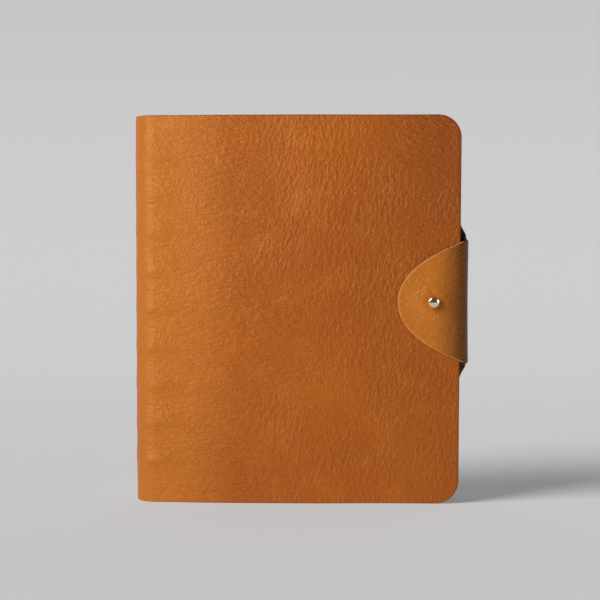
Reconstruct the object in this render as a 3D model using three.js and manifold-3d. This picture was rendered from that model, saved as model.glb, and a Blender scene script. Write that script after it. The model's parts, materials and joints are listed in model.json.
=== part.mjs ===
// A soft leather notebook cover, closed by a tab on a ball stud, round a disc-bound refill.
// It is in millimetres with +Z up, closed and standing on its lower edge. The front cover faces -Y,
// the spine is at -X, and the origin is on the standing surface at the centre of the footprint.
// One hide makes the back cover, spine, front cover and tab. It is cut here where it folds, so
// each flat or curved panel is a solid of its own.
import * as THREE from "three";
import { mergeVertices } from "three/addons/utils/BufferGeometryUtils.js";
import Module from "manifold-3d";

const wasm = await Module();
wasm.setup();

// ---- the hide ----
const HEIGHT = 220;
const WIDTH = 185; // spine to fore-edge
const THICKNESS = 23; // over both covers
const LEATHER = 1.7;
const CORNER_R = 13;
const FOLD_GAP = 0.3; // cut between two panels of the hide

// ---- closing tab ----
const TAB_Z = 114.6; // its middle sits a little above the middle of the cover
const TAB_STANDOFF = 4.4; // outer face of the wrap beyond the fore-edge
const TAB_BEND_R = 3.4; // outer radius of both bends
const TAB_TIP_X = 56.8;
const TAB_SHOULDER = { x: 80, half: 28 }; // handles of the curve from the fold to the tip
const TAB_TIP_HALF = 18;
const TAB_HALF_AT_FOLD = 34.5;
const TAB_HALF_AT_BACK = 45.5;
const TAB_FLARE_END = 53; // half height at which the back cover's edge is straight again
const FLAP_LIFT = 0.9; // the flap lies over the stud's flange
const FLAP_TRIM = 0.5; // the flap is cut this much narrower than the wrap at the fold

// ---- ball stud and its screw ----
const STUD_X = 76.4;
const BALL_R = 3.65;
const BALL_HEIGHT = 6.45; // ball centre over the front cover
const NECK_R = 1.6;
const FLANGE_R = 3.75;
const FLANGE_T = 0.8;
const STUD_BORE_R = 1.35;
const STUD_BORE_DEPTH = 4.6;
const SCREW_R = 1.15;
const SCREW_HEAD_R = 4;
const SCREW_HEAD_T = 1.1;
const SCREW_LENGTH = 5.8;
const SCREW_SLOT = { width: 0.9, depth: 0.6 };
const SEAT_GAP = 0.05; // between metal and the leather that it is screwed to
const COVER_HOLE_R = 1.7;
const BUTTON_HOLE_R = 2;
const BUTTON_SLIT = { length: 1.6, width: 0.5 };

// ---- discs ----
const DISC_COUNT = 9;
const DISC_PITCH = 21.5;
const DISC_R = 9.4;
const BEAD_R = 1.6; // half-round bead along the rim
const BEAD_INNER_R = DISC_R - BEAD_R;
const WEB_T = 1.5;
const DISC_HOLE_R = 3;

// ---- refill ----
const PAGE_WIDTH = 164;
const PAGE_HEIGHT = 210;
const PAGE_CORNER_R = 9;
const BLOCK_T = 12;
const BUNDLE_COUNT = 12;
const BUNDLE_GAP = 0.3;
const CARD_WIDTH = 171;
const CARD_T = 0.7;
const PUNCH_CLEARANCE = 0.5;
const PUNCH_HEIGHT = 4.4; // passes the disc's bead
const SLIT_HEIGHT = 2.4; // passes the disc's web
const TONGUE = 1.6; // paper left between the punched hole and the sheet's edge

// ---- leather strip that hangs the discs on the back cover ----
const STRIP_WIDTH = 22;
const STRIP_T = 1.2;

// ---- how finely round shapes are faceted ----
const CORNER_STEPS = 6;
const SPINE_STEPS = 24;
const STUD_SIDES = 24;
const BALL_STEPS = 10;
const DISC_SIDES = 20;
const BEAD_STEPS = 4;

// ---- places that follow from these ----
const OUTER_Y = THICKNESS / 2;
const INNER_Y = OUTER_Y - LEATHER;
const EDGE_X = WIDTH / 2;
const AXIS_X = -EDGE_X + OUTER_Y; // the discs' axis, and both spine folds
const WRAP_X = EDGE_X + TAB_STANDOFF;
const TAB_HINGE_X = WRAP_X - TAB_BEND_R;
const FLAP_Y = -OUTER_Y - FLAP_LIFT - LEATHER; // outer face of the flap
const discHeights = Array.from(
  { length: DISC_COUNT },
  (_, i) => HEIGHT / 2 + (i - (DISC_COUNT - 1) / 2) * DISC_PITCH,
);
const footprint = {
  x: (-EDGE_X - FOLD_GAP / 2 + WRAP_X) / 2,
  y: (OUTER_Y - (OUTER_Y + BALL_HEIGHT + BALL_R)) / 2,
};

// ---- materials ----
const hide = new THREE.MeshStandardMaterial({ color: 0xb3641f, roughness: 0.5, metalness: 0 });
const brass = new THREE.MeshStandardMaterial({ color: 0xdcc38a, roughness: 0.15, metalness: 1 });
const aluminium = new THREE.MeshStandardMaterial({ color: 0xc9c9c6, roughness: 0.3, metalness: 1 });
const paper = new THREE.MeshStandardMaterial({ color: 0xf3eee0, roughness: 0.9, metalness: 0 });
const card = new THREE.MeshStandardMaterial({ color: 0x5b4636, roughness: 0.8, metalness: 0 });

const group = new THREE.Group();
group.position.set(-footprint.x, -footprint.y, 0);

function add(name, geometry, material) {
  const mesh = new THREE.Mesh(geometry, material);
  mesh.name = name;
  group.add(mesh);
  return mesh;
}

// ---- shaping ----
function extrude(shape, depth, curveSegments = CORNER_STEPS) {
  return new THREE.ExtrudeGeometry(shape, { depth, curveSegments, bevelEnabled: false });
}

// A shape drawn in X and Z, between two values of Y.
function plate(shape, yFront, yBack) {
  const lay = new THREE.Matrix4().makeBasis(
    new THREE.Vector3(1, 0, 0),
    new THREE.Vector3(0, 0, 1),
    new THREE.Vector3(0, -1, 0),
  );
  return extrude(shape, yBack - yFront)
    .applyMatrix4(lay)
    .translate(0, yBack, 0);
}

// A shape drawn in Y and Z, between two values of X.
function slab(shape, xLow, xHigh) {
  const lay = new THREE.Matrix4().makeBasis(
    new THREE.Vector3(0, 1, 0),
    new THREE.Vector3(0, 0, 1),
    new THREE.Vector3(1, 0, 0),
  );
  return extrude(shape, xHigh - xLow)
    .applyMatrix4(lay)
    .translate(xLow, 0, 0);
}

function toSolid(geometry) {
  const bare = geometry.clone();
  bare.deleteAttribute("normal");
  bare.deleteAttribute("uv");
  const merged = mergeVertices(bare);
  return new wasm.Manifold(
    new wasm.Mesh({
      numProp: 3,
      vertProperties: merged.attributes.position.array,
      triVerts: new Uint32Array(merged.index.array),
    }),
  );
}

function toGeometry(solid) {
  const mesh = solid.getMesh();
  return new THREE.BufferGeometry()
    .setAttribute("position", new THREE.BufferAttribute(mesh.vertProperties, 3))
    .setIndex(new THREE.BufferAttribute(mesh.triVerts, 1));
}

function roundHole(x, z, radius) {
  return new THREE.Path().absarc(x, z, radius, 0, 2 * Math.PI, true);
}

// ---- covers and spine ----
// A cover's outline from its spine fold to the fore-edge, with a flare for the tab or none.
function coverOutline(withFlare) {
  const left = AXIS_X + FOLD_GAP / 2;
  const shape = new THREE.Shape().moveTo(left, 0).lineTo(EDGE_X - CORNER_R, 0);
  shape.absarc(EDGE_X - CORNER_R, CORNER_R, CORNER_R, -Math.PI / 2, 0, false);
  if (withFlare) {
    const reach = TAB_HINGE_X - FOLD_GAP;
    const turn = (TAB_HALF_AT_BACK + TAB_FLARE_END) / 2;
    shape.lineTo(EDGE_X, TAB_Z - TAB_FLARE_END);
    shape.quadraticCurveTo(EDGE_X, TAB_Z - turn, reach, TAB_Z - TAB_HALF_AT_BACK);
    shape.lineTo(reach, TAB_Z + TAB_HALF_AT_BACK);
    shape.quadraticCurveTo(EDGE_X, TAB_Z + turn, EDGE_X, TAB_Z + TAB_FLARE_END);
  }
  const top = HEIGHT - CORNER_R;
  shape.lineTo(EDGE_X, top);
  shape.absarc(EDGE_X - CORNER_R, top, CORNER_R, 0, Math.PI / 2, false);
  return shape.lineTo(left, HEIGHT).closePath();
}

function addCovers() {
  add("back_cover", plate(coverOutline(true), INNER_Y, OUTER_Y), hide);
  const front = coverOutline(false);
  front.holes.push(roundHole(STUD_X, TAB_Z, COVER_HOLE_R));
  add("front_cover", plate(front, -OUTER_Y, -INNER_Y), hide);
}

function addSpine() {
  const shape = new THREE.Shape();
  shape.absarc(0, 0, OUTER_Y, Math.PI / 2, (3 * Math.PI) / 2, false);
  shape.absarc(0, 0, INNER_Y, (3 * Math.PI) / 2, Math.PI / 2, true);
  add("spine", extrude(shape, HEIGHT, SPINE_STEPS).translate(AXIS_X - FOLD_GAP / 2, 0, 0), hide);
}

// ---- closing tab ----
// The part that crosses the fore-edge: a channel section, narrowing from the back to the front.
function addTabWrap() {
  const backY = OUTER_Y - TAB_BEND_R;
  const frontY = FLAP_Y + TAB_BEND_R;
  const innerR = TAB_BEND_R - LEATHER;
  const section = new THREE.Shape();
  section.absarc(TAB_HINGE_X, backY, TAB_BEND_R, Math.PI / 2, 0, true);
  section.absarc(TAB_HINGE_X, frontY, TAB_BEND_R, 0, -Math.PI / 2, true);
  section.absarc(TAB_HINGE_X, frontY, innerR, -Math.PI / 2, 0, false);
  section.absarc(TAB_HINGE_X, backY, innerR, 0, Math.PI / 2, false);
  section.closePath();

  const narrow = TAB_HALF_AT_FOLD;
  const wide = TAB_HALF_AT_BACK;
  const side = new THREE.Shape().moveTo(FLAP_Y, -narrow).lineTo(frontY, -narrow);
  side.quadraticCurveTo(backY, -narrow, OUTER_Y, -wide).lineTo(OUTER_Y, wide);
  side.quadraticCurveTo(backY, narrow, frontY, narrow).lineTo(FLAP_Y, narrow).closePath();

  const channel = toSolid(extrude(section, 2 * wide).translate(0, 0, TAB_Z - wide));
  const flare = toSolid(slab(side, EDGE_X, WRAP_X + 1).translate(0, 0, TAB_Z));
  add("tab_wrap", toGeometry(channel.intersect(flare)), hide);
}

// The part that lies on the front cover, with a round button hole and a slit towards the fold.
function addTabFlap() {
  const right = TAB_HINGE_X - FOLD_GAP;
  const half = TAB_HALF_AT_FOLD - FLAP_TRIM;
  const { x, half: shoulder } = TAB_SHOULDER;
  const tip = TAB_TIP_HALF;
  const shape = new THREE.Shape().moveTo(right, TAB_Z - half);
  shape.lineTo(right, TAB_Z + half);
  shape.bezierCurveTo(x, TAB_Z + shoulder, TAB_TIP_X, TAB_Z + tip, TAB_TIP_X, TAB_Z);
  shape.bezierCurveTo(TAB_TIP_X, TAB_Z - tip, x, TAB_Z - shoulder, right, TAB_Z - half);

  const slitAngle = Math.asin(BUTTON_SLIT.width / 2 / BUTTON_HOLE_R);
  const slitEnd = STUD_X + BUTTON_HOLE_R + BUTTON_SLIT.length;
  const keyhole = new THREE.Path();
  keyhole.absarc(STUD_X, TAB_Z, BUTTON_HOLE_R, slitAngle, 2 * Math.PI - slitAngle, false);
  keyhole.lineTo(slitEnd, TAB_Z - BUTTON_SLIT.width / 2);
  keyhole.lineTo(slitEnd, TAB_Z + BUTTON_SLIT.width / 2).closePath();
  shape.holes.push(keyhole);
  add("tab_flap", plate(shape, FLAP_Y, FLAP_Y + LEATHER), hide);
}

// ---- stud ----
// A turned piece whose height runs outwards from a face of the front cover.
function turned(profile, faceY) {
  const points = profile.map(([radius, height]) => new THREE.Vector2(radius, height));
  const lathe = new THREE.LatheGeometry(points, STUD_SIDES);
  return lathe.rotateX(Math.PI).translate(STUD_X, faceY, TAB_Z);
}

function addStud() {
  const fromNeck = Math.PI - Math.asin(NECK_R / BALL_R);
  const ball = Array.from({ length: BALL_STEPS }, (_, i) => {
    const angle = fromNeck * (1 - i / BALL_STEPS);
    return [BALL_R * Math.sin(angle), BALL_HEIGHT + BALL_R * Math.cos(angle)];
  });
  ball.push([0, BALL_HEIGHT + BALL_R]);
  const base = SEAT_GAP;
  const post = [
    [0, base + STUD_BORE_DEPTH],
    [STUD_BORE_R, base + STUD_BORE_DEPTH],
    [STUD_BORE_R, base],
    [FLANGE_R, base],
    [FLANGE_R, base + FLANGE_T],
    [NECK_R, base + FLANGE_T],
  ];
  add("ball_stud", turned([...post, ...ball], -OUTER_Y), brass);
}

function addScrew() {
  const profile = [
    [0, -SCREW_HEAD_T - SEAT_GAP],
    [SCREW_HEAD_R, -SCREW_HEAD_T - SEAT_GAP],
    [SCREW_HEAD_R, -SEAT_GAP],
    [SCREW_R, -SEAT_GAP],
    [SCREW_R, SCREW_LENGTH],
    [0, SCREW_LENGTH],
  ];
  const slot = new THREE.BoxGeometry(3 * SCREW_HEAD_R, 2 * SCREW_SLOT.depth, SCREW_SLOT.width);
  slot.translate(STUD_X, -INNER_Y + SCREW_HEAD_T + SEAT_GAP, TAB_Z);
  const solid = toSolid(turned(profile, -INNER_Y)).subtract(toSolid(slot));
  add("stud_screw", toGeometry(solid), brass);
}

// ---- discs ----
function addDiscs() {
  const web = WEB_T / 2;
  const bead = Array.from({ length: BEAD_STEPS + 1 }, (_, i) => {
    const angle = Math.PI * (i / BEAD_STEPS - 1 / 2);
    return [BEAD_INNER_R + BEAD_R * Math.cos(angle), BEAD_R * Math.sin(angle)];
  });
  const profile = [
    [DISC_HOLE_R, -web],
    [BEAD_INNER_R, -web],
    ...bead,
    [BEAD_INNER_R, web],
    [DISC_HOLE_R, web],
    [DISC_HOLE_R, -web],
  ].map(([radius, height]) => new THREE.Vector2(radius, height));
  discHeights.forEach((z, i) => {
    const geometry = new THREE.LatheGeometry(profile, DISC_SIDES).rotateX(Math.PI / 2);
    const disc = add(`disc_${i + 1}`, geometry, aluminium);
    disc.position.set(AXIS_X, 0, z);
  });
}

// ---- refill ----
// Where a sheet between two values of Y meets the discs, measured from their axis.
function hookOf(yFront, yBack) {
  const near = yFront * yBack < 0 ? 0 : Math.min(Math.abs(yFront), Math.abs(yBack));
  const far = Math.max(Math.abs(yFront), Math.abs(yBack));
  const inner = Math.sqrt(BEAD_INNER_R ** 2 - far ** 2) - PUNCH_CLEARANCE;
  const outer = Math.sqrt(DISC_R ** 2 - near ** 2) + PUNCH_CLEARANCE;
  return { edge: inner - TONGUE, inner, outer };
}

// A sheet or bundle with a mushroom-shaped punch for each disc.
function addPunched(name, width, yFront, yBack, material) {
  const hook = hookOf(yFront, yBack);
  const left = AXIS_X + hook.edge;
  const right = left + width;
  const low = (HEIGHT - PAGE_HEIGHT) / 2;
  const high = low + PAGE_HEIGHT;
  const shape = new THREE.Shape().moveTo(left, low).lineTo(right - PAGE_CORNER_R, low);
  const corner = [right - PAGE_CORNER_R, PAGE_CORNER_R];
  shape.absarc(corner[0], low + corner[1], PAGE_CORNER_R, -Math.PI / 2, 0, false);
  shape.absarc(corner[0], high - corner[1], PAGE_CORNER_R, 0, Math.PI / 2, false);
  shape.lineTo(left, high);
  for (const z of [...discHeights].reverse()) {
    const step = (x, dz) => shape.lineTo(AXIS_X + x, z + dz);
    step(hook.edge, SLIT_HEIGHT / 2);
    step(hook.inner, SLIT_HEIGHT / 2);
    step(hook.inner, PUNCH_HEIGHT / 2);
    step(hook.outer, PUNCH_HEIGHT / 2);
    step(hook.outer, -PUNCH_HEIGHT / 2);
    step(hook.inner, -PUNCH_HEIGHT / 2);
    step(hook.inner, -SLIT_HEIGHT / 2);
    step(hook.edge, -SLIT_HEIGHT / 2);
  }
  add(name, plate(shape.closePath(), yFront, yBack), material);
}

function addRefill() {
  const pitch = BLOCK_T / BUNDLE_COUNT;
  for (let i = 0; i < BUNDLE_COUNT; i++) {
    const middle = -BLOCK_T / 2 + (i + 0.5) * pitch;
    const half = (pitch - BUNDLE_GAP) / 2;
    addPunched(`pages_${i + 1}`, PAGE_WIDTH, middle - half, middle + half, paper);
  }
  const cardY = BLOCK_T / 2 + BUNDLE_GAP;
  addPunched("front_card", CARD_WIDTH, -cardY - CARD_T, -cardY, card);
  addPunched("back_card", CARD_WIDTH, cardY, cardY + CARD_T, card);
}

// The strip is bonded inside the back cover, and its slots go over the discs' rims.
function addBindingStrip() {
  const back = INNER_Y - FOLD_GAP;
  const left = AXIS_X + FOLD_GAP;
  const low = (HEIGHT - PAGE_HEIGHT) / 2;
  const high = low + PAGE_HEIGHT;
  const slotEnd = AXIS_X + Math.sqrt(DISC_R ** 2 - (back - STRIP_T) ** 2) + PUNCH_CLEARANCE;
  const shape = new THREE.Shape().moveTo(left, low).lineTo(left + STRIP_WIDTH, low);
  shape.lineTo(left + STRIP_WIDTH, high).lineTo(left, high);
  for (const z of [...discHeights].reverse()) {
    shape.lineTo(left, z + PUNCH_HEIGHT / 2).lineTo(slotEnd, z + PUNCH_HEIGHT / 2);
    shape.lineTo(slotEnd, z - PUNCH_HEIGHT / 2).lineTo(left, z - PUNCH_HEIGHT / 2);
  }
  add("binding_strip", plate(shape.closePath(), back - STRIP_T, back), hide);
}

addCovers();
addSpine();
addTabWrap();
addTabFlap();
addStud();
addScrew();
addDiscs();
addRefill();
addBindingStrip();

export default group;
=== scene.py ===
"""The looks of a leather notebook cover that wraps a disc-bound refill.

Everything is in metres, in the frame of the CAD model: the front cover faces -Y, the spine is at -X.
The hide is one surface, described by a distance s along the leather and a height z. Each panel of it is
a closed sheet made from a stretch of s, so neighbouring panels meet exactly where the leather folds.
"""

import json
import math

import bmesh
import bpy
import numpy as np
from mathutils import Matrix, Vector, noise


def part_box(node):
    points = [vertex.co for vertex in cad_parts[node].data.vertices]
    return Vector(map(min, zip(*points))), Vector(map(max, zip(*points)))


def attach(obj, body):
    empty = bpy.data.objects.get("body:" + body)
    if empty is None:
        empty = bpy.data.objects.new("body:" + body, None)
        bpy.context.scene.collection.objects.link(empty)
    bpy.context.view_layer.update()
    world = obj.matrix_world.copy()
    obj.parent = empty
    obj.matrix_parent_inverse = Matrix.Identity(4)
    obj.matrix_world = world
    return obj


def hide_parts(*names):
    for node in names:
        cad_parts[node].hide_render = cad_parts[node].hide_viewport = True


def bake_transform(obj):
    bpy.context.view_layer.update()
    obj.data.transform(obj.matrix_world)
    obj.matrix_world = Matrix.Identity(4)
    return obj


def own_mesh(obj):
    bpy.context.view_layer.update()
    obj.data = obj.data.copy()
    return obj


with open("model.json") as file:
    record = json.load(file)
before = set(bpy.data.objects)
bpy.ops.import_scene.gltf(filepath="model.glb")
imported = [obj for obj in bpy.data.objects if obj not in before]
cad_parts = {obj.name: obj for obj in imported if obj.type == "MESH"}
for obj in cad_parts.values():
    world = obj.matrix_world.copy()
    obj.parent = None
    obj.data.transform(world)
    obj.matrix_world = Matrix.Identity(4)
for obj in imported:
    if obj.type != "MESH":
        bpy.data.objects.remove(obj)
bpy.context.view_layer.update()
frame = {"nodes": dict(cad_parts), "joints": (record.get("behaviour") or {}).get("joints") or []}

MM = 0.001
joints = {j["name"]: j for j in frame["joints"]}

# ---- sizes taken from the frame ----
FOLD_X, BACK_Y = joints["cover_open"]["pos_m"][:2]
FRONT_Y = joints["front_fold"]["pos_m"][1]
TAB_X = joints["tab_open"]["pos_m"][0]
FLAP_Y = joints["tab_unfold"]["pos_m"][1]
TAB_Z = joints["tab_open"]["pos_m"][2]
MID_Y = (BACK_Y + FRONT_Y) / 2
SPINE_R = (BACK_Y - FRONT_Y) / 2
HALF_TURN = math.pi * SPINE_R
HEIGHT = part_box("front_cover")[1].z
EDGE_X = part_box("front_cover")[1].x
WRAP_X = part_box("tab_wrap")[1].x
FLAP_TIP_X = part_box("tab_flap")[0].x
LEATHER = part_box("front_cover")[1].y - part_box("front_cover")[0].y
STUD = (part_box("ball_stud")[0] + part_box("ball_stud")[1]) / 2
DISC_COUNT = sum(name.startswith("disc_") for name in frame["nodes"])
PAGE_COUNT = sum(name.startswith("pages_") for name in frame["nodes"])
DISC_Z = [(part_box(f"disc_{i + 1}")[0].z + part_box(f"disc_{i + 1}")[1].z) / 2 for i in range(DISC_COUNT)]

# ---- sizes shared with the CAD model ----
CORNER_R = 13 * MM
TAB_BEND_R = 3.4 * MM
TAB_HALF_AT_FOLD = 34.5 * MM
TAB_HALF_AT_BACK = 45.5 * MM
TAB_FLARE_END = 53 * MM
BUTTON_HOLE_R = 2 * MM
BUTTON_SLIT = (1.6 * MM, 0.5 * MM)  # length and width
DISC_R = 9.4 * MM
BEAD_R = 1.6 * MM
DISC_WEB_T = 1.5 * MM
DISC_HOLE_R = 3 * MM
PAGE_CORNER_R = 9 * MM

# ---- soft shapes that only the looks have ----
TAB_FRONT_R = 8 * MM  # the flap rolls over the fore-edge more softly than a sharp fold
DISC_BUMP = 2.5 * MM
CROWN = 1.9 * MM
FORE_EDGE_LEAN = 1.1 * MM
FLAP_DOME = 2.2 * MM

# ---- how finely the leather is drawn ----
GRID = 1.3 * MM
RIM_STEPS = np.array([0, 0.08, 0.22, 0.45, 0.85]) * MM  # closer spacing where an edge rounds over
CUT_EDGE = 0.15 * MM  # how much of the rounded edge shows the cut
FLAP_CUT_EDGE = 0.3 * MM  # the flap's pale cut shows more
GRAIN, CUT, FLESH = range(3)  # a panel's material slots


# ---- meshes ----
def new_object(name, mesh, material, smooth=True):
    """Put a mesh in the scene with its first material."""
    obj = bpy.data.objects.new(name, mesh)
    bpy.context.scene.collection.objects.link(obj)
    mesh.materials.append(material)
    mesh.polygons.foreach_set("use_smooth", [smooth] * len(mesh.polygons))
    return obj


def closed_sheet(name, outer, inner, uv, distance, materials, cut_edge=CUT_EDGE):
    """A closed leather panel from two grids of points, joined round the rim: grain, cut, flesh."""
    rows, columns = outer.shape[:2]
    count = rows * columns
    points = np.concatenate([outer.reshape(-1, 3), inner.reshape(-1, 3)])
    index = np.arange(count).reshape(rows, columns)
    a, b, c, d = index[:-1, :-1], index[:-1, 1:], index[1:, 1:], index[1:, :-1]
    front = np.stack([a, b, c, d], -1).reshape(-1, 4)
    back = np.stack([d, c, b, a], -1).reshape(-1, 4) + count
    ring = np.concatenate([index[0, :], index[1:, -1], index[-1, -2::-1], index[-2:0:-1, 0]])
    after = np.roll(ring, -1)
    rim = np.stack([ring, ring + count, after + count, after], -1)
    build = bmesh.new()
    layer = build.loops.layers.uv.new("UVMap")
    verts = [build.verts.new(point) for point in points]
    flat_uv, near = uv.reshape(-1, 2), distance.reshape(-1)
    faces = np.concatenate([front, back, rim])
    for number, corners in enumerate(faces.tolist()):
        face = build.faces.new([verts[i] for i in corners])
        cut = number >= 2 * len(front) or min(near[i % count] for i in corners) < cut_edge
        face.material_index = CUT if cut else (GRAIN if number < len(front) else FLESH)
        for loop, i in zip(face.loops, corners):
            loop[layer].uv = flat_uv[i % count]
    bmesh.ops.remove_doubles(build, verts=build.verts, dist=0.004 * MM)
    bmesh.ops.dissolve_degenerate(build, edges=build.edges, dist=0.002 * MM)
    bmesh.ops.recalc_face_normals(build, faces=build.faces)
    mesh = bpy.data.meshes.new(name)
    build.to_mesh(mesh)
    build.free()
    panel = new_object(name, mesh, materials[GRAIN])
    mesh.materials.append(materials[CUT])
    mesh.materials.append(materials[FLESH])
    return sharpen(panel, 50)


def lathe(name, profile, material, steps):
    """A turned piece about Z from (radius, height) points. A profile off the axis closes on itself."""
    mesh = bpy.data.meshes.new(name)
    build = bmesh.new()
    rings = []
    for i in range(steps):
        angle = 2 * math.pi * i / steps
        ring = [build.verts.new((r * math.cos(angle), r * math.sin(angle), h)) for r, h in profile]
        rings.append(ring)
    on_axis = profile[0][0] == 0
    spans = len(profile) - 1 if on_axis else len(profile)
    for i, ring in enumerate(rings):
        following = rings[(i + 1) % steps]
        for k in range(spans):
            n = (k + 1) % len(profile)
            build.faces.new((ring[k], following[k], following[n], ring[n]))
    bmesh.ops.remove_doubles(build, verts=build.verts, dist=0.002 * MM)
    bmesh.ops.recalc_face_normals(build, faces=build.faces)
    build.to_mesh(mesh)
    build.free()
    return new_object(name, mesh, material)


def sharpen(obj, degrees=35):
    """Smooth shading that keeps real corners crisp."""
    obj.data.set_sharp_from_angle(angle=math.radians(degrees))
    return obj


def bevel(obj, width, segments=2):
    """Round an object's corner edges."""
    modifier = obj.modifiers.new("Bevel", "BEVEL")
    modifier.width = width
    modifier.segments = segments
    modifier.limit_method = "ANGLE"
    apply_modifiers(obj)
    return obj


def cut(obj, cutter):
    """Take the cutter's volume out of an object, and remove the cutter."""
    modifier = obj.modifiers.new("Cut", "BOOLEAN")
    modifier.object = cutter
    modifier.operation = "DIFFERENCE"
    modifier.solver = "EXACT"
    apply_modifiers(obj)
    bpy.data.objects.remove(cutter)


def apply_modifiers(obj):
    """Turn an object's modifiers into its mesh."""
    graph = bpy.context.evaluated_depsgraph_get()
    mesh = bpy.data.meshes.new_from_object(obj.evaluated_get(graph))
    obj.modifiers.clear()
    obj.data = mesh


def prism(name, outline, y_low, y_high, material):
    """An outline in X and Z, solid between two values of Y, with its UV map in metres."""
    mesh = bpy.data.meshes.new(name)
    build = bmesh.new()
    near = [build.verts.new((x, y_low, z)) for x, z in outline]
    far = [build.verts.new((x, y_high, z)) for x, z in outline]
    build.faces.new(near)
    build.faces.new(far[::-1])
    for i in range(len(outline)):
        n = (i + 1) % len(outline)
        build.faces.new((near[n], near[i], far[i], far[n]))
    bmesh.ops.recalc_face_normals(build, faces=build.faces)
    layer = build.loops.layers.uv.new("UVMap")
    for face in build.faces:
        for loop in face.loops:
            loop[layer].uv = (loop.vert.co.x, loop.vert.co.z)
    build.to_mesh(mesh)
    build.free()
    return new_object(name, mesh, material, smooth=False)


# ---- materials ----
class Nodes:
    """A short way to build one material's nodes."""

    def __init__(self, name, **settings):
        self.material = bpy.data.materials.new(name)
        self.material.use_nodes = True
        self.tree = self.material.node_tree
        self.shader = self.tree.nodes["Principled BSDF"]
        for socket, value in settings.items():
            self.shader.inputs[socket.replace("_", " ")].default_value = value

    def add(self, kind, inputs=None, **properties):
        """A new node, with values or links for its inputs."""
        node = self.tree.nodes.new(kind)
        for key, value in properties.items():
            setattr(node, key, value)
        for key, value in (inputs or {}).items():
            self.set(node, key, value)
        return node

    def set(self, node, key, value):
        """Link a socket to an input, or give the input a plain value."""
        if isinstance(value, bpy.types.NodeSocket):
            self.tree.links.new(value, node.inputs[key])
        else:
            node.inputs[key].default_value = value

    def stretched(self, vector, scale, turn=0):
        """Coordinates scaled along each axis and turned, so that a pattern on them is drawn out."""
        inputs = {"Vector": vector, "Scale": scale, "Rotation": (0, 0, turn)}
        return self.add("ShaderNodeMapping", inputs).outputs[0]

    def uv(self, scale=(1, 1, 1), turn=0):
        """Distances along and up the leather, in metres."""
        source = self.add("ShaderNodeUVMap", uv_map="UVMap")
        return self.stretched(source.outputs[0], scale, turn)

    def parts(self, vector):
        """The first two parts of a vector."""
        return self.add("ShaderNodeSeparateXYZ", {"Vector": vector}).outputs[:2]

    def noise(self, vector, scale, detail=3, roughness=0.5, distortion=0):
        """Noise from 0 to 1. On coordinates in metres, scale is about how many blots fit in a metre."""
        inputs = {"Vector": vector, "Scale": scale, "Detail": detail}
        inputs.update({"Roughness": roughness, "Distortion": distortion})
        return self.add("ShaderNodeTexNoise", inputs).outputs[0]

    def cells(self, vector, scale):
        """Distance from the middle of each cell."""
        return self.add("ShaderNodeTexVoronoi", {"Vector": vector, "Scale": scale}).outputs["Distance"]

    def math(self, operation, a, b=0.0):
        node = self.add("ShaderNodeMath", operation=operation)
        self.set(node, 0, a)
        self.set(node, 1, b)
        return node.outputs[0]

    def remap(self, value, low, high, to_low=0.0, to_high=1.0):
        """A smooth step from to_low at low to to_high at high."""
        inputs = {"Value": value, "From Min": low, "From Max": high, "To Min": to_low, "To Max": to_high}
        return self.add("ShaderNodeMapRange", inputs, interpolation_type="SMOOTHSTEP").outputs[0]

    def mix(self, factor, a, b):
        node = self.add("ShaderNodeMix", data_type="RGBA")
        self.set(node, 0, factor)
        self.set(node, 6, a)
        self.set(node, 7, b)
        return node.outputs[2]

    def bump(self, height, distance, strength=1.0, normal=None):
        """A normal raised by height over distance, on top of another normal if one is given."""
        node = self.add("ShaderNodeBump", {"Height": height, "Distance": distance, "Strength": strength})
        if normal is not None:
            self.set(node, "Normal", normal)
        return node.outputs[0]

    def surface(self, **sockets):
        """The finished material, with these shader inputs set or linked."""
        for key, value in sockets.items():
            self.set(self.shader, key.replace("_", " "), value)
        return self.material


def rgb(red, green, blue):
    """A colour written as 0 to 255 sRGB, as linear RGBA."""

    def linear(value):
        value /= 255
        return value / 12.92 if value <= 0.04045 else ((value + 0.055) / 1.055) ** 2.4

    return (linear(red), linear(green), linear(blue), 1)


def leather_grain(n, flat, along):
    """Heights of the leather's fine tooth, its pebbles, and wrinkles that lie one way or the other."""
    turned = n.uv(turn=0.2)
    swirl = n.add("ShaderNodeTexNoise", {"Vector": turned, "Scale": 38.0, "Detail": 2.0}).outputs["Color"]
    warped = n.mix(0.005, turned, swirl)
    across = n.noise(n.stretched(warped, (1, 2.4, 1)), 250, detail=2, distortion=0.15)
    upright = n.noise(n.stretched(warped, (2.1, 1, 1)), 250, detail=2, distortion=0.15)
    upright_share = n.math("ADD", n.noise(flat, 16, detail=2), n.remap(along, 20 * MM, 120 * MM, -0.1, 0.1))
    wrinkle = n.mix(n.remap(upright_share, 0.42, 0.58), across, upright)
    depth = n.remap(n.noise(flat, 26, detail=2), 0.35, 0.65, 0.65, 1)
    ridge = n.math("MULTIPLY", n.remap(wrinkle, 0.28, 0.72), depth)
    tooth = n.noise(warped, 760, detail=2, roughness=0.6, distortion=0.1)
    pebbles = n.remap(n.cells(n.uv((1, 1.3, 1), turn=0.1), 640), 0.1, 0.62, 1, 0)
    return tooth, pebbles, ridge


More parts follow.
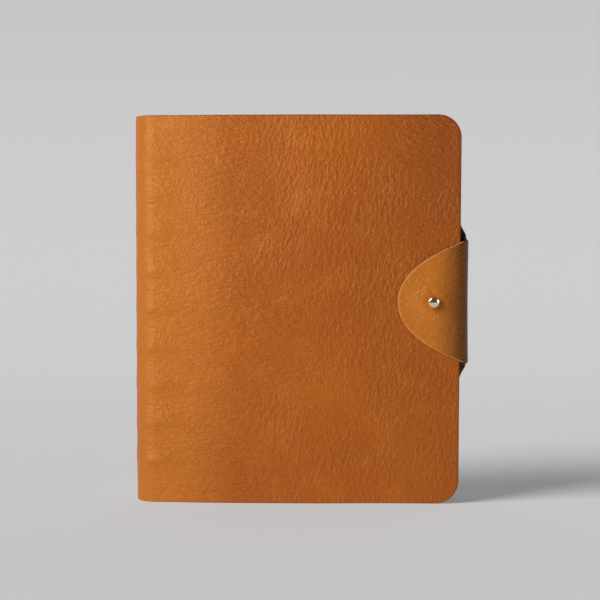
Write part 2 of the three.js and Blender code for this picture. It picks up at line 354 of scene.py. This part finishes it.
def leather_material(name, light, middle, dark, painted_light_falloff=False, burnish_and_painted_shade=False):
    """Tanned hide: drifting colour, pebbled grain, and soft wrinkles that change direction in patches.

    It can be painted lighter near the spine, a painted highlight, and darker at the upper fore-edge, painted
    shade.
    It can be painted dark where the tab rolls over the fore-edge: a little burnish, mostly painted shade.
    """
    n = Nodes(name, Specular_IOR_Level=0.7, Specular_Tint=WARM_SHEEN, Coat_Weight=0.05, Coat_Roughness=0.4)
    flat = n.uv()
    along, height = n.parts(flat)
    clouds = n.noise(flat, 11, distortion=0.3)
    drift = n.noise(n.uv((1, 1.35, 1), turn=0.5), 40, detail=4, roughness=0.6, distortion=0.5)
    colour = n.mix(n.remap(clouds, 0.32, 0.68, 0.35, 1), dark, middle)
    colour = n.mix(n.remap(drift, 0.45, 0.8, 0, 0.3), colour, light)
    if painted_light_falloff:
        # painted highlight: the hide is painted lighter across the spine and the front's first 55 mm
        from_back, to_front = n.remap(along, -80 * MM, -36 * MM), n.remap(along, 0, 55 * MM, 1, 0)
        colour = n.mix(n.math("MULTIPLY", n.math("MULTIPLY", from_back, to_front), 0.6), colour, light)
        # painted shade: the hide is painted darker towards the upper fore-edge
        outward, upward = n.remap(along, 90 * MM, 170 * MM), n.remap(height, 100 * MM, 190 * MM, 0.45, 1)
        colour = n.mix(n.math("MULTIPLY", n.math("MULTIPLY", outward, upward), 0.9), colour, PAINTED_SHADE_TAN)
    tooth, pebbles, ridge = leather_grain(n, flat, along)
    # painted shade in the wrinkles' furrows and between the pebbles, and painted light on the tooth's peaks
    colour = n.mix(n.remap(ridge, 0, 0.5, 0.08, 0), colour, dark)
    colour = n.mix(n.remap(pebbles, 0, 0.6, 0.1, 0), colour, dark)
    colour = n.mix(n.remap(tooth, 0.35, 0.65, 0, 0.14), colour, light)
    normal = n.bump(tooth, 0.22 * MM)
    normal = n.bump(pebbles, 0.09 * MM, normal=normal)
    normal = n.bump(ridge, 0.36 * MM, normal=normal)
    # painted shade with a little burnish: dark where the tab rolls over the fore-edge
    if burnish_and_painted_shade:
        before, after = n.remap(along, -30 * MM, -6 * MM), n.remap(along, 0, 19 * MM, 1, 0)
        colour = n.mix(n.math("MULTIPLY", n.math("MULTIPLY", before, after), 0.8), colour, BURNISH_AND_SHADE)
    rough = n.remap(drift, 0.3, 0.7, 0.5, 0.44)
    return n.surface(Base_Color=colour, Roughness=rough, Normal=normal)


def fibre_material(name, low, high, scale, depth):
    """Leather where it isn't grain: napped on the flesh side, pressed on a cut edge."""
    n = Nodes(name, Roughness=0.9, Specular_IOR_Level=0.15, Sheen_Weight=0.15)
    nap = n.noise(n.uv((1, 1.6, 1), turn=0.4), scale, detail=5, roughness=0.7, distortion=0.4)
    patches = n.noise(n.uv(), 60, roughness=0.6)
    colour = n.mix(n.remap(nap, 0.3, 0.7), low, high)
    colour = n.mix(n.remap(patches, 0.4, 0.7, 0, 0.35), colour, low)
    return n.surface(Base_Color=colour, Normal=n.bump(nap, depth, 0.7))


def metal_material(name, colour, roughness, scratch):
    """Metal with a fine mottle that darkens it and roughens it by up to scratch."""
    n = Nodes(name, Metallic=1.0)
    place = n.add("ShaderNodeTexCoord").outputs["Object"]
    fine = n.noise(place, 900, detail=4, roughness=0.6)
    darker = tuple(0.75 * part for part in colour[:3]) + (1,)
    tint = n.mix(n.remap(fine, 0.3, 0.7, 0, 0.18), colour, darker)
    rough = n.remap(fine, 0.3, 0.7, roughness, roughness + scratch)
    return n.surface(Base_Color=tint, Roughness=rough, Normal=n.bump(fine, 0.01 * MM, 0.3))


def paper_material():
    """Cream paper with faint ruled lines and a fibrous tooth."""
    n = Nodes("cream_paper", Roughness=0.85, Sheen_Weight=0.05)
    flat = n.uv()
    height = n.parts(flat)[1]
    rule_pitch, rule_width = 7 * MM, 0.245 * MM
    phase = n.math("FRACT", n.math("DIVIDE", height, rule_pitch))
    line = n.math("LESS_THAN", phase, rule_width / rule_pitch)
    fibre = n.noise(n.uv((1, 2.5, 1)), 700, detail=4, roughness=0.7)
    colour = n.mix(n.remap(fibre, 0.3, 0.7), rgb(228, 220, 198), rgb(242, 236, 218))
    colour = n.mix(n.math("MULTIPLY", line, 0.28), colour, rgb(146, 150, 158))
    return n.surface(Base_Color=colour, Normal=n.bump(fibre, 0.02 * MM, 0.5))


def board_material():
    """Dark brown board with paler flecks."""
    n = Nodes("dyed_board", Roughness=0.8)
    fibre = n.noise(n.uv((1, 3, 1)), 520, detail=5, roughness=0.7)
    fleck = n.remap(n.cells(n.uv(), 260), 0.05, 0.2, 0.5, 0)
    colour = n.mix(n.remap(fibre, 0.3, 0.7), rgb(70, 48, 34), rgb(94, 68, 48))
    colour = n.mix(fleck, colour, rgb(128, 98, 72))
    return n.surface(Base_Color=colour, Normal=n.bump(fibre, 0.04 * MM, 0.6))


HIDE_TANS = rgb(222, 132, 42), rgb(192, 96, 14), rgb(168, 77, 12)  # light, middle and dark
TAB_TANS = rgb(224, 140, 50), rgb(212, 121, 30), rgb(190, 101, 22)
# painted shade for the upper fore-edge
PAINTED_SHADE_TAN = rgb(150, 66, 10)
# painted shade and a little burnish for the tab's roll over the fore-edge
BURNISH_AND_SHADE = rgb(78, 34, 8)
WARM_SHEEN = rgb(255, 214, 158)

hide_leather = leather_material("tan_hide", *HIDE_TANS, painted_light_falloff=True)
tab_leather = leather_material("tan_hide_tab", *TAB_TANS, burnish_and_painted_shade=True)
tab_edge = fibre_material("tan_cut_edge", rgb(206, 134, 76), rgb(236, 170, 108), 900, 0.03 * MM)
dark_edge = fibre_material("burnished_edge", rgb(70, 36, 18), rgb(104, 56, 28), 900, 0.03 * MM)
flesh = fibre_material("tan_flesh_side", rgb(122, 76, 44), rgb(156, 104, 64), 420, 0.12 * MM)
# each panel's grain, cut edge and flesh side
COVER = hide_leather, dark_edge, flesh
WRAP = tab_leather, dark_edge, flesh
FLAP = tab_leather, tab_edge, flesh
brass = metal_material("polished_brass", rgb(250, 232, 190), 0.07, 0.04)
aluminium = metal_material("turned_aluminium", rgb(206, 206, 203), 0.28, 0.12)
paper = paper_material()
board = board_material()


# ---- the hide's surface ----
def smoothstep(value, low, high):
    """0 below low, 1 above high, and smooth between them."""
    t = np.clip((value - low) / (high - low), 0, 1)
    return t * t * (3 - 2 * t)


def field(s, z, wavelength_s, wavelength_z, seed):
    """Smooth noise from -1 to 1 over the leather."""
    flat = [
        noise.noise(Vector((a / wavelength_s, b / wavelength_z, seed)))
        for a, b in zip(s.ravel(), z.ravel())
    ]
    return np.array(flat).reshape(s.shape)


def crease(s, z, start, end, width, height):
    """A soft ridge or furrow along a straight line on the leather, fading at its ends."""
    start, end = np.array(start), np.array(end)
    along = end - start
    length = np.hypot(*along)
    t = ((s - start[0]) * along[0] + (z - start[1]) * along[1]) / length
    off = ((z - start[1]) * along[0] - (s - start[0]) * along[1]) / length
    off = off + 1.2 * MM * np.sin(t / (9 * MM))  # it wanders a little to each side
    ends = smoothstep(t, 0, 0.3 * length) * (1 - smoothstep(t, 0.7 * length, length))
    return height * ends * np.exp(-((off / width) ** 2))


CREASES = (  # from (s, z), to (s, z), half width, height, all in millimetres
    ((92, 196), (72, 140), 1.6, 0.16),
    ((98, 190), (84, 150), 1.4, -0.1),
    ((4, 92), (38, 104), 1.8, -0.14),
    ((6, 60), (44, 74), 1.8, 0.14),
    ((30, 22), (92, 40), 2.2, 0.12),
    ((60, 84), (112, 72), 2.4, -0.1),
    ((118, 40), (150, 66), 2.0, 0.1),
    ((-60, 150), (-120, 170), 2.0, 0.12),
    ((-90, 40), (-150, 66), 2.2, -0.12),
)


def disc_bumps(s, z):
    """What the discs press out of the spine: gentle above each crest, steep below, fainter higher up."""
    facing = 0.15 + 0.85 * np.cos(np.clip(s, -HALF_TURN, 0) / SPINE_R) ** 2
    above, below, crest_width = 7.5 * MM, 3.2 * MM, 0.25
    offsets = [z - disc for disc in DISC_Z]
    pressed = sum(np.exp(-np.hypot(off / np.where(off > 0, above, below), crest_width)) for off in offsets)
    between_discs = 0.22
    lower = 1.3 - 0.95 * z / HEIGHT
    return DISC_BUMP * facing * lower * (pressed - between_discs)


def relief(s, z):
    """How far the leather stands out from its plain form."""
    from_spine = np.maximum(np.abs(s + HALF_TURN / 2) - HALF_TURN / 2, 0)
    near_spine = np.exp(-((from_spine / (12 * MM)) ** 2))
    behind = smoothstep(-s, 0.6 * HALF_TURN, HALF_TURN)
    room = (0.4 + 0.6 * behind) * MM  # keeps the discs clear of the back cover as it opens
    crown = CROWN * smoothstep(from_spine, 0, 45 * MM) * (1 - smoothstep(from_spine, 85 * MM, 135 * MM))
    away = smoothstep(from_spine, 0, 20 * MM)
    waves = 0.28 * MM * field(s, z, 62 * MM, 48 * MM, seed=3.1) * away
    ripples = 0.07 * MM * field(s, z, 19 * MM, 12 * MM, seed=7.7)
    wrinkles = -0.05 * MM * (1 - np.abs(field(s + 0.3 * z, z, 8 * MM, 4 * MM, seed=1.9))) ** 6
    creases = sum(
        crease(s, z, np.array(start) * MM, np.array(end) * MM, width * MM, height * MM)
        for start, end, width, height in CREASES
    )
    return (disc_bumps(s, z) + room) * near_spine + crown + waves + ripples + wrinkles + creases


def hide_point(s, z, depth, height):
    """The point at s and z, depth below the outer face, raised by height."""
    out = height - depth
    angle = np.clip(s, -HALF_TURN, 0) / SPINE_R
    x = FOLD_X + (SPINE_R + out) * np.sin(angle) * ((s < 0) & (s > -HALF_TURN))
    y = MID_Y - (SPINE_R + out) * np.cos(angle)
    x = x + np.maximum(s, 0) + np.maximum(-HALF_TURN - s, 0)
    return np.stack([x, y, z], -1)


def rounding(distance):
    """How deep a cut edge's rounded shoulder lies at a distance from that edge."""
    radius = LEATHER / 2
    inside = np.clip(radius - distance, 0, radius)
    return radius - np.sqrt(np.maximum(radius**2 - inside**2, 0))


def spread(low, high, rim_low, rim_high):
    """Values from low to high, closer together near a rim."""
    start = low + RIM_STEPS if rim_low else np.array([low])
    end = high - RIM_STEPS[::-1] if rim_high else np.array([high])
    count = max(2, int((end[0] - start[-1]) / GRID))
    return np.concatenate([start[:-1], np.linspace(start[-1], end[0], count), end[1:]])


def hide_sheet(name, s, z, distance):
    """A panel of the hide over a grid of s and z. distance is each point's distance from a cut edge."""
    height = relief(s, z)
    shoulder = rounding(distance)
    outer = hide_point(s, z, shoulder, height)
    inner = hide_point(s, z, LEATHER - shoulder, height)
    return closed_sheet(name, outer, inner, np.stack([s, z], -1), distance, COVER)


def corner_reach(z, width):
    """How far a cover with rounded outer corners reaches at each height."""
    inset = CORNER_R - np.minimum(np.minimum(z, HEIGHT - z), CORNER_R)
    return width - CORNER_R + np.sqrt(np.maximum(CORNER_R**2 - inset**2, 0))


def edge_distance(reach, z, width):
    """Distance from a cover's cut edge, its two ends and its corners."""
    to_end = np.minimum(z, HEIGHT - z)
    dx, dz = reach - (width - CORNER_R), CORNER_R - to_end
    in_corner = (dx > 0) & (dz > 0)
    straight = np.minimum(width - reach, to_end)
    return np.where(in_corner, CORNER_R - np.hypot(dx, dz), straight)


def cover_grid(width, widen=None):
    """Distances from the fold and heights for a cover. widen(z) moves its outer edge out for the tab."""
    rows = spread(0, HEIGHT, True, True)
    unit = spread(0, width, False, True)
    reach = corner_reach(rows, width)
    z = np.repeat(rows[:, None], len(unit), 1)
    rim = unit > width - RIM_STEPS[-1] - 1e-9
    body = unit / (width - RIM_STEPS[-1]) * (reach[:, None] - RIM_STEPS[-1])
    u = np.where(rim, reach[:, None] - (width - unit), body)
    distance = np.maximum(edge_distance(u, z, width), 0)
    if widen is not None:
        extra = widen(z)
        to_end = np.minimum(z, HEIGHT - z)
        carries_tab = extra > 0.9 * RIM_STEPS[-1]
        distance = np.where(carries_tab, np.maximum(distance, to_end), distance)
        u = u + extra * smoothstep(u, width - 18 * MM, width)
    return u, z, distance


def flare(z):
    """How far the back cover's edge runs out to meet the tab."""
    off = np.abs(z - TAB_Z)
    return (TAB_X - EDGE_X) * (1 - smoothstep(off, TAB_HALF_AT_BACK, TAB_FLARE_END))


def make_covers():
    """The front cover, the spine and the back cover with its flare."""
    width = EDGE_X - FOLD_X
    u, z, distance = cover_grid(width)
    lean = FORE_EDGE_LEAN * (1 - z / HEIGHT)  # the fore-edge leans in towards its lower end
    front = hide_sheet("front_hide", u - lean * u / width, z, distance)
    u, z, distance = cover_grid(width, flare)
    back = hide_sheet("back_hide", -HALF_TURN - u, z, distance)
    z_values = spread(0, HEIGHT, True, True)
    s_values = np.linspace(-HALF_TURN, 0, 40)
    s, z = np.meshgrid(s_values, z_values)
    spine = hide_sheet("spine_hide", s, z, np.minimum(z, HEIGHT - z))
    return front, spine, back


# ---- the tab ----
ROLL_X = WRAP_X - TAB_FRONT_R  # where the flap stops being flat and rolls back
ROLL_Y = FLAP_Y + TAB_FRONT_R


def wrap_section(t):
    """Point and outward direction at distance t along the tab's outer face, from the back fold."""
    bend = TAB_BEND_R * math.pi / 2
    straight = (BACK_Y - TAB_BEND_R) - ROLL_Y
    first = np.clip(t / bend, 0, 1) * math.pi / 2
    last = np.clip(t - bend - straight, 0, None) / TAB_FRONT_R
    angle = math.pi / 2 - first - last
    rolled = t > bend + straight
    radius = np.where(rolled, TAB_FRONT_R, TAB_BEND_R)
    down = np.clip(t - bend, 0, straight)
    x = WRAP_X - radius + radius * np.cos(angle)
    y = BACK_Y - TAB_BEND_R - down + radius * np.sin(angle)
    return x, y, np.cos(angle), np.sin(angle)


def wrap_length():
    """From the back fold to the line where the flap begins, part of the way round the roll."""
    rolled = TAB_FRONT_R * math.acos((TAB_X - ROLL_X) / TAB_FRONT_R)
    return TAB_BEND_R * math.pi / 2 + (BACK_Y - TAB_BEND_R) - ROLL_Y + rolled


def wrap_half(t):
    """Half the tab's height at distance t from the back fold: it narrows fast, then slowly."""
    narrowing = 0.73 * np.exp(-t / (3.5 * MM)) + 0.27 * np.exp(-t / (12 * MM))
    return TAB_HALF_AT_FOLD + (TAB_HALF_AT_BACK - TAB_HALF_AT_FOLD) * narrowing


def make_wrap():
    """The tab's part that runs round the fore-edge, from the back cover to the flap."""
    length = wrap_length()
    t_values = np.linspace(0, length, 70)
    v_values = spread(-TAB_HALF_AT_FOLD, TAB_HALF_AT_FOLD, True, True) / TAB_HALF_AT_FOLD
    t, v = np.meshgrid(t_values, v_values)
    x, y, nx, ny = wrap_section(t)
    half = wrap_half(t)
    half = half - (TAB_HALF_AT_FOLD - flap_half()) * smoothstep(t, 0.6 * length, length)
    z = TAB_Z + v * half
    across = np.sin(math.pi * t / length)
    hollow = -0.35 * MM * (1 - v**2)
    sag = across * (hollow + 0.12 * MM * field(t, z, 9 * MM, 26 * MM, seed=5.2))
    distance = (1 - np.abs(v)) * half
    shoulder = rounding(distance)

    def layer(depth):
        out = sag - depth
        return np.stack([x + nx * out, y + ny * out, z], -1)

    uv = np.stack([t - length, z], -1)
    return closed_sheet("tab_wrap_hide", layer(shoulder), layer(LEATHER - shoulder), uv, distance, WRAP)


def flap_half():
    """Half the flap's height where it meets the wrap."""
    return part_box("tab_flap")[1].z - TAB_Z


def flap_outline(count=240):
    """The flap's rounded edge, from its upper end at the fold to its lower one."""
    half = flap_half()
    reach = TAB_X - FLAP_TIP_X
    handles = np.array([[0, half], [0.36 * reach, 0.85 * half], [reach, 0.55 * half], [reach, 0]])
    t = np.linspace(0, 1, count)[:, None]
    upper = (1 - t) ** 3 * handles[0] + 3 * t * (1 - t) ** 2 * handles[1]
    upper = upper + 3 * t**2 * (1 - t) * handles[2] + t**3 * handles[3]
    return np.concatenate([upper, upper[-2::-1] * (1, -1)])


def make_flap():
    """The tab's D-shaped end, rolled back at the fore-edge and domed round the stud."""
    outline = flap_outline()
    half = outline[0, 1]
    rows = np.sin(np.linspace(-math.pi / 2, math.pi / 2, 90)) * half  # closer together at both ends
    upper = outline[: len(outline) // 2 + 1][::-1]
    reach = np.interp(np.abs(rows), upper[:, 1], upper[:, 0])
    typical_reach = 40 * MM
    unit = spread(0, typical_reach, False, True) / typical_reach
    u = reach[:, None] * unit[None, :]
    w = np.repeat(rows[:, None], len(unit), 1)
    gap = np.hypot(u[..., None] - outline[:, 0], w[..., None] - outline[:, 1]).min(-1)
    shoulder = rounding(gap)
    away = smoothstep(u, 0, 8 * MM)
    from_stud = np.hypot(TAB_X - u - STUD.x, w)
    dome = np.exp(-((from_stud / (9 * MM)) ** 2)) - np.exp(-((from_stud / (4 * MM)) ** 2))
    lift = away * (0.3 * MM * field(u, w, 24 * MM, 20 * MM, seed=9.4) + FLAP_DOME * dome)
    turn = np.clip((TAB_X - u - ROLL_X) / TAB_FRONT_R, 0, 1)
    level = np.sqrt(1 - turn**2)

    def layer(depth):
        out = lift - depth
        x = TAB_X - u + turn * out
        y = ROLL_Y - TAB_FRONT_R * level - level * out
        return np.stack([x, y, TAB_Z + w], -1)

    uv = np.stack([u, TAB_Z + w], -1)
    outer, inner = layer(shoulder), layer(LEATHER - shoulder)
    flap = closed_sheet("tab_flap_hide", outer, inner, uv, gap, FLAP, FLAP_CUT_EDGE)
    cut_button_hole(flap)
    return flap


def cut_button_hole(flap):
    """A round hole for the stud's neck, with a slit towards the fold."""
    slit_length, slit_width = BUTTON_SLIT
    start = math.asin(slit_width / 2 / BUTTON_HOLE_R)
    angles = np.linspace(start, 2 * math.pi - start, 32)
    outline = [(STUD.x + BUTTON_HOLE_R * math.cos(a), STUD.z + BUTTON_HOLE_R * math.sin(a)) for a in angles]
    end = STUD.x + BUTTON_HOLE_R + slit_length
    outline += [(end, STUD.z - slit_width / 2), (end, STUD.z + slit_width / 2)]
    cutter = prism("cutter", outline, FLAP_Y - 3 * MM, FLAP_Y + 4 * MM, tab_leather)
    cut(flap, cutter)


# ---- metal ----
def make_stud():
    """Ball, neck and flange, turned in one, facing -Y."""
    low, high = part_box("ball_stud")
    ball_r = 3.65 * MM
    neck_r = 1.6 * MM
    flange_r = (high.x - low.x) / 2
    ball_height = FRONT_Y - low.y - ball_r
    start = math.pi - math.asin(neck_r / ball_r)
    angles = np.linspace(start, 0, 40)[:-1]
    ball = [(ball_r * math.sin(a), ball_height + ball_r * math.cos(a)) for a in angles]
    rim, chamfered = flange_r / MM, flange_r / MM - 0.15
    foot = [(0, -0.5), (1.35, -0.5), (1.35, 0.05), (chamfered, 0.05), (rim, 0.2)]  # in millimetres
    foot += [(rim, 0.7), (chamfered, 0.85), (2.1, 0.85), (1.75, 1.0)]
    profile = [(r * MM, h * MM) for r, h in foot] + [(neck_r, 1.5 * MM)] + ball
    profile.append((0, ball_height + ball_r))
    stud = lathe("stud_turned", profile, brass, 96)
    stud.rotation_euler = (math.pi / 2, 0, 0)
    stud.location = (STUD.x, FRONT_Y, STUD.z)
    return sharpen(stud)


def make_screw():
    """A low domed head with a slot, and its shank, inside the front cover."""
    low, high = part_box("stud_screw")
    inside = high.y
    head_r = (high.x - low.x) / 2 / MM
    profile = [(0, 0), (head_r - 1.2, 0.02), (head_r - 0.35, 0.16)]  # in millimetres
    profile += [(head_r, 0.5), (head_r, 1.1)]
    profile += [(1.15, 1.1), (1.15, 6.6), (0, 6.6)]
    screw = lathe("screw_turned", [(r * MM, h * MM) for r, h in profile], brass, 72)
    half_slot = 0.45 * MM
    outline = [(-8 * MM, -half_slot), (8 * MM, -half_slot), (8 * MM, half_slot), (-8 * MM, half_slot)]
    cutter = prism("slot_cutter", outline, -1 * MM, 0.55 * MM, brass)
    cutter.data.transform(Matrix.Rotation(-math.pi / 2, 4, "X"))
    cut(screw, cutter)
    screw.rotation_euler = (math.pi / 2, 0, 0)
    screw.location = (STUD.x, inside, STUD.z)
    return sharpen(screw)


def make_disc(number, z):
    """A turned disc with a half-round bead, a thin web and an open centre."""
    web = DISC_WEB_T / 2
    rim = DISC_R - BEAD_R
    angles = np.linspace(-math.pi / 2, math.pi / 2, 17)
    bead = [(rim + BEAD_R * math.cos(a), BEAD_R * math.sin(a)) for a in angles]
    hub = DISC_HOLE_R + 0.25 * MM
    step = 0.3 * MM
    face = [(rim, web + step), (rim - step, web), (hub, web), (DISC_HOLE_R, web - 0.2 * MM)]
    profile = [(r, -h) for r, h in reversed(face)] + bead + face
    disc = lathe(f"disc_{number}_turned", profile, aluminium, 72)
    disc.location = (FOLD_X, MID_Y, z)
    return sharpen(disc, 30)


# ---- refill ----
def punched_outline(node):
    """A sheet's outline with a mushroom-shaped punch for each disc, from the CAD node's own size."""
    low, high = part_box(node)
    sides = [abs(low.y - MID_Y), abs(high.y - MID_Y)]
    near = 0 if low.y < MID_Y < high.y else min(sides)
    far = max(sides)
    clearance, tongue = 0.5 * MM, 1.6 * MM
    inner = FOLD_X + math.sqrt((DISC_R - BEAD_R) ** 2 - far**2) - clearance
    outer = FOLD_X + math.sqrt(DISC_R**2 - near**2) + clearance
    left = inner - tongue
    turns = np.linspace(0, math.pi / 2, 9)
    outline = [(left, low.z)]
    corner = [(PAGE_CORNER_R * (1 - math.sin(a)), PAGE_CORNER_R * (1 - math.cos(a))) for a in turns]
    outline += [(high.x - dx, low.z + dz) for dx, dz in corner]
    outline += [(high.x - dx, high.z - dz) for dx, dz in reversed(corner)]
    outline.append((left, high.z))
    slit, punch = 1.2 * MM, 2.2 * MM
    for z in reversed(DISC_Z):
        steps = [(left, slit), (inner, slit), (inner, punch), (outer, punch)]
        outline += [(x, z + dz) for x, dz in steps] + [(x, z - dz) for x, dz in reversed(steps)]
    return outline


def make_bundle(number):
    """Three thin sheets, each a little out of line with the next, for one bundle of pages."""
    node = f"pages_{number}"
    low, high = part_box(node)
    outline = punched_outline(node)
    sheet_count = 3
    pitch = (high.y - low.y) / sheet_count
    sheets = []
    punched_end = FOLD_X + 40 * MM  # nothing nearer the discs than this moves
    for i in range(sheet_count):
        drift = 0.25 * MM * math.sin(5.1 * number + 2.3 * i)
        moved = [(x + (drift if x > punched_end else 0), z) for x, z in outline]
        y = low.y + i * pitch
        sheets.append(prism(f"sheet_{number}_{i}", moved, y, y + 0.8 * pitch, paper))
    return join(sheets, f"pages_{number}_sheets")


def join(objects, name):
    """One object from several that share a material."""
    build = bmesh.new()
    for obj in objects:
        build.from_mesh(obj.data)
    mesh = bpy.data.meshes.new(name)
    build.to_mesh(mesh)
    build.free()
    material = objects[0].data.materials[0]
    for obj in objects:
        bpy.data.objects.remove(obj)
    return new_object(name, mesh, material, smooth=False)


def make_card(node):
    """A punched board as large as its CAD node."""
    low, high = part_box(node)
    card = prism(f"{node}_board", punched_outline(node), low.y, high.y, board)
    return bevel(card, 0.12 * MM)


def make_strip():
    """The leather strip that holds the discs, slotted from its spine side."""
    low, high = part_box("binding_strip")
    outline = [(low.x, low.z), (high.x, low.z), (high.x, high.z), (low.x, high.z)]
    slot_end, half = FOLD_X + 4.9 * MM, 2.2 * MM
    for z in reversed(DISC_Z):
        outline += [(low.x, z + half), (slot_end, z + half), (slot_end, z - half), (low.x, z - half)]
    return bevel(prism("strip_leather", outline, low.y, high.y, tab_leather), 0.3 * MM, 3)


# ---- placing the pieces on the CAD's bodies ----
def finish_piece(piece, slot, *nodes):
    """Hide the CAD nodes that a piece stands for; the piece and its slot are not used."""
    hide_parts(*nodes)


def build_object():
    """Every piece; the spine, the stud, the screw, the cards, the strip, the discs and the pages each on the
    body that carries it.
    """
    front, spine, back = make_covers()
    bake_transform(front)
    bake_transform(back)
    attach(spine, "spine")
    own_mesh(spine)
    finish_piece(front, "leather", "front_cover")
    finish_piece(spine, "leather", "spine")
    finish_piece(back, "leather", "back_cover")

    wrap, flap = make_wrap(), make_flap()
    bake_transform(wrap)
    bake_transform(flap)
    finish_piece(wrap, "leather", "tab_wrap")
    finish_piece(flap, "leather", "tab_flap")

    for piece, body, slot, node in (
        (make_stud(), "front", "brass", "ball_stud"),
        (make_screw(), "front", "brass", "stud_screw"),
        (make_card("front_card"), "front_card", "card", "front_card"),
        (make_card("back_card"), "back", "card", "back_card"),
        (make_strip(), "back", "leather", "binding_strip"),
    ):
        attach(piece, body)
        finish_piece(piece, slot, node)
    for number, z in enumerate(DISC_Z, 1):
        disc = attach(make_disc(number, z), "discs")
        finish_piece(disc, "aluminium", f"disc_{number}")
    for number in range(1, PAGE_COUNT + 1):
        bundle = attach(make_bundle(number), f"pages_{number}")
        finish_piece(bundle, "paper", f"pages_{number}")


# ---- floor, light and camera ----
def make_floor():
    """A seamless pale sweep that rises behind the object."""
    half_width, front, back, radius, top = 4.0, -3.0, 1.2, 0.8, 3.2
    profile = [(front, 0), (back - radius, 0)]
    turns = np.linspace(0, math.pi / 2, 24)[1:]
    profile += [(back - radius + radius * math.sin(a), radius * (1 - math.cos(a))) for a in turns]
    profile.append((back, top))
    points = [(x, y, z) for y, z in profile for x in (-half_width, half_width)]
    faces = [(2 * i, 2 * i + 1, 2 * i + 3, 2 * i + 2) for i in range(len(profile) - 1)]
    mesh = bpy.data.meshes.new("sweep")
    mesh.from_pydata(points, [], faces)
    n = Nodes("pale_sweep", Roughness=0.95, Specular_IOR_Level=0.0)
    pale, glow = (0.35, 0.35, 0.353, 1), (0.6, 0.6, 0.607, 1)
    n.surface(Base_Color=pale, Emission_Color=glow, Emission_Strength=0.31)
    new_object("sweep", mesh, n.material)


def aim(obj, place, target):
    """Put a light or the camera at a place, facing a target."""
    obj.location = place
    obj.rotation_euler = (Vector(target) - Vector(place)).to_track_quat("-Z", "Y").to_euler()


def add_light(name, kind, place, target, size, power):
    """A round area light (size in metres, power in watts) or a sun (size its angle, power its strength)."""
    data = bpy.data.lights.new(name, kind)
    data.energy = power
    if kind == "AREA":
        data.shape = "DISK"
        data.size = size
    else:
        data.angle = size
    light = bpy.data.objects.new(name, data)
    bpy.context.scene.collection.objects.link(light)
    aim(light, place, target)
    return light


def link_light(light, state, *pieces):
    """Let a light fall on some objects alone, or on all but those, as flags do in a studio."""
    group = bpy.data.collections.new(f"{light.name}_receivers")
    for piece in pieces:
        group.objects.link(piece)
    for entry in group.collection_objects:
        entry.light_linking.link_state = state
    light.light_linking.receiver_collection = group


def toward(azimuth, elevation):
    """A direction from the object, with the azimuth in degrees from -Y towards -X."""
    a, e = math.radians(azimuth), math.radians(elevation)
    return Vector((-math.sin(a) * math.cos(e), -math.cos(a) * math.cos(e), math.sin(e)))


def make_lights():
    """A key and a strip from the front left, a sun for the floor's shadow, and two cards for the stud."""
    middle = Vector((0, 0, HEIGHT / 2))
    stud, sweep = bpy.data.objects["stud_turned"], bpy.data.objects["sweep"]
    key = add_light("key", "AREA", middle + toward(33, 30), middle, size=0.28, power=3.3)
    strip = add_light("strip", "AREA", middle + toward(35, 13), middle, size=0.2, power=3.15)
    strip.data.shape = "RECTANGLE"
    strip.data.size_y = 0.36
    sun = add_light("side_sun", "SUN", middle + 2 * toward(61, 37), middle, size=math.radians(29), power=4.55)
    left = add_light("left_card", "AREA", STUD + 0.5 * toward(98, 40), STUD, size=0.62, power=2.2)
    right = add_light("right_card", "AREA", STUD + 0.5 * toward(-100, 14), STUD, size=0.3, power=0.9)
    link_light(key, "EXCLUDE", stud, sweep)
    link_light(strip, "EXCLUDE", stud, sweep)
    link_light(sun, "INCLUDE", sweep)
    link_light(left, "INCLUDE", stud)
    link_light(right, "INCLUDE", stud)
    world = bpy.data.worlds.new("studio")
    bpy.context.scene.world = world
    world.use_nodes = True
    background = world.node_tree.nodes["Background"]
    background.inputs["Color"].default_value = (1, 1, 1, 1)
    background.inputs["Strength"].default_value = 0.08


def make_camera():
    """A long lens in front of the object, a little above its middle and to its right."""
    data = bpy.data.cameras.new("camera")
    data.sensor_width = 36
    data.lens = 80.7
    camera = bpy.data.objects.new("camera", data)
    bpy.context.scene.collection.objects.link(camera)
    aim(camera, place=(0.024, FRONT_Y - 0.76, 0.146), target=(-0.0005, FRONT_Y, 0.1156))
    bpy.context.scene.camera = camera


def corners(bounds):
    return [[float(value) for value in corner] for corner in bounds]


make_camera()
build_object()
make_floor()
make_lights()
bpy.context.scene.view_settings.view_transform = "Standard"
